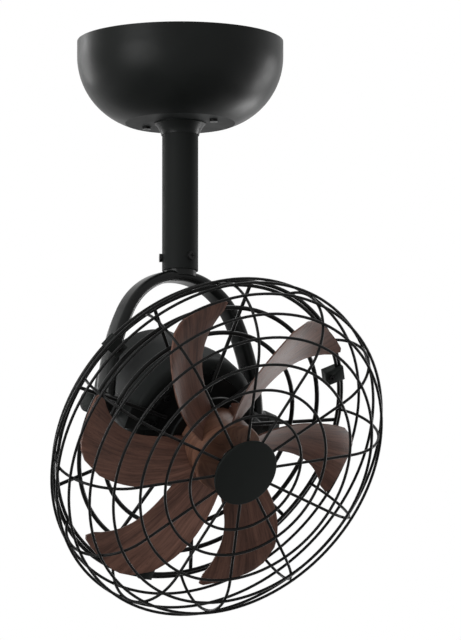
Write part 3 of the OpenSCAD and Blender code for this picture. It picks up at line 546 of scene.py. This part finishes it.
# %% [markdown]
# ## The floor
#
# A pale floor lies far below, where the fan throws its shadow. More light on it would spoil the
# black coats, so it is lifted to near white for the camera alone, with Light Path's camera ray.
# It is clear from beneath, because a fan is also looked at from straight below.

# %% A pale floor
FLOOR_SIZE = 2.6
FLOOR_HEIGHT = -2.4
FLOOR_SHADE = 0.35
FLOOR_GLOW = 0.66
WHITE = (1.0, 1.0, 1.0, 1.0)


def floor_finish():
    """Pale from above, lifted for the camera, and clear from below."""
    material, tree, shader = material_shell(
        "pale_floor", Base_Color=(FLOOR_SHADE, FLOOR_SHADE, FLOOR_SHADE, 1.0),
        Roughness=0.9, Emission_Color=WHITE)
    path = tree.nodes.new("ShaderNodeLightPath")
    glow = add_node(tree, "ShaderNodeMath", operation="MULTIPLY")
    glow.inputs[1].default_value = FLOOR_GLOW
    side = tree.nodes.new("ShaderNodeNewGeometry")
    clear = tree.nodes.new("ShaderNodeBsdfTransparent")
    mix = tree.nodes.new("ShaderNodeMixShader")
    join(tree,
         (path, "Is Camera Ray", glow, 0), (glow, "Value", shader, "Emission Strength"),
         (side, "Backfacing", mix, "Fac"), (shader, "BSDF", mix, 1), (clear, "BSDF", mix, 2),
         (mix, "Shader", tree.nodes["Material Output"], "Surface"))
    return material


def make_floor():
    bm = bmesh.new()
    bmesh.ops.create_grid(bm, x_segments=1, y_segments=1, size=FLOOR_SIZE)
    bmesh.ops.translate(bm, vec=(0.0, 0.0, FLOOR_HEIGHT), verts=bm.verts)
    mesh = bpy.data.meshes.new("floor")
    bm.to_mesh(mesh)
    bm.free()
    mesh.materials.append(floor_finish())
    floor = bpy.data.objects.new("floor", mesh)
    bpy.context.scene.collection.objects.link(floor)


make_floor()
print("floor at", FLOOR_HEIGHT, "metres")

# %% [markdown]
# ## The white room
#
# The fan hangs in front of plain white. A white wall would need strong light, which would turn the
# black coats grey. The world can be two things at once: white to the camera, in gloss and through
# glass, and a dimmer studio for plain light.

# %% White background
STUDIO_LIGHT = 0.50


def make_world():
    world = bpy.data.worlds.new("white_room")
    bpy.context.scene.world = world
    world.use_nodes = True
    tree = world.node_tree
    tree.nodes.clear()
    path = tree.nodes.new("ShaderNodeLightPath")
    seen = add_node(tree, "ShaderNodeMath", operation="MAXIMUM")
    clear = add_node(tree, "ShaderNodeMath", operation="MAXIMUM")
    room = add_node(tree, "ShaderNodeBackground", Color=WHITE, Strength=STUDIO_LIGHT)
    white = add_node(tree, "ShaderNodeBackground", Color=WHITE, Strength=1.0)
    mix = tree.nodes.new("ShaderNodeMixShader")
    out = tree.nodes.new("ShaderNodeOutputWorld")
    join(tree,
         (path, "Is Camera Ray", seen, 0), (path, "Is Glossy Ray", seen, 1),
         (seen, "Value", clear, 0), (path, "Is Transmission Ray", clear, 1),
         (clear, "Value", mix, "Fac"), (room, "Background", mix, 1),
         (white, "Background", mix, 2), (mix, "Shader", out, "Surface"))


make_world()
bpy.context.scene.view_settings.view_transform = "Standard"
print("studio light:", STUDIO_LIGHT)

# %% [markdown]
# ## Soft lamps
#
# A black object shows its form by the edges that its lamps draw on it. The large key lights the
# blades from the front left. Two tall boxes and a low one behind the fan draw the pale edges of
# the bowl, the rod and the fork, and a wide one above lights whatever faces up. Area lamps are
# used because points and suns would leave small hard highlights on the wires.

# %% Place the lamps
AIM = Vector((0.05, 0.0, -0.35))
LAMPS = {  # the place, the width and height in metres, and the power in watts
    "key": ((-1.9, -1.8, -0.3), (1.6, 1.6), 57.0),
    "right_box": ((1.9, 1.2, -0.55), (0.35, 1.2), 26.0),
    "low_box": ((1.4, 1.95, -1.45), (0.9, 0.9), 21.0),
    "left_box": ((-1.8, 1.6, 0.15), (0.5, 1.4), 18.5),
    "top_box": ((0.5, 0.4, 1.6), (1.4, 1.4), 22.0)}


def soft_lamp(name, place, size, power):
    """A rectangular lamp that faces the middle of the fan."""
    light = bpy.data.lights.new(name, "AREA")
    light.shape = "RECTANGLE"
    light.size, light.size_y = size
    light.energy = power
    lamp = bpy.data.objects.new(name, light)
    lamp.location = place
    lamp.rotation_euler = (AIM - Vector(place)).to_track_quat("-Z", "Y").to_euler()
    bpy.context.scene.collection.objects.link(lamp)


for name, (place, size, power) in LAMPS.items():
    soft_lamp(name, place, size, power)
print("lamps:", len(LAMPS))
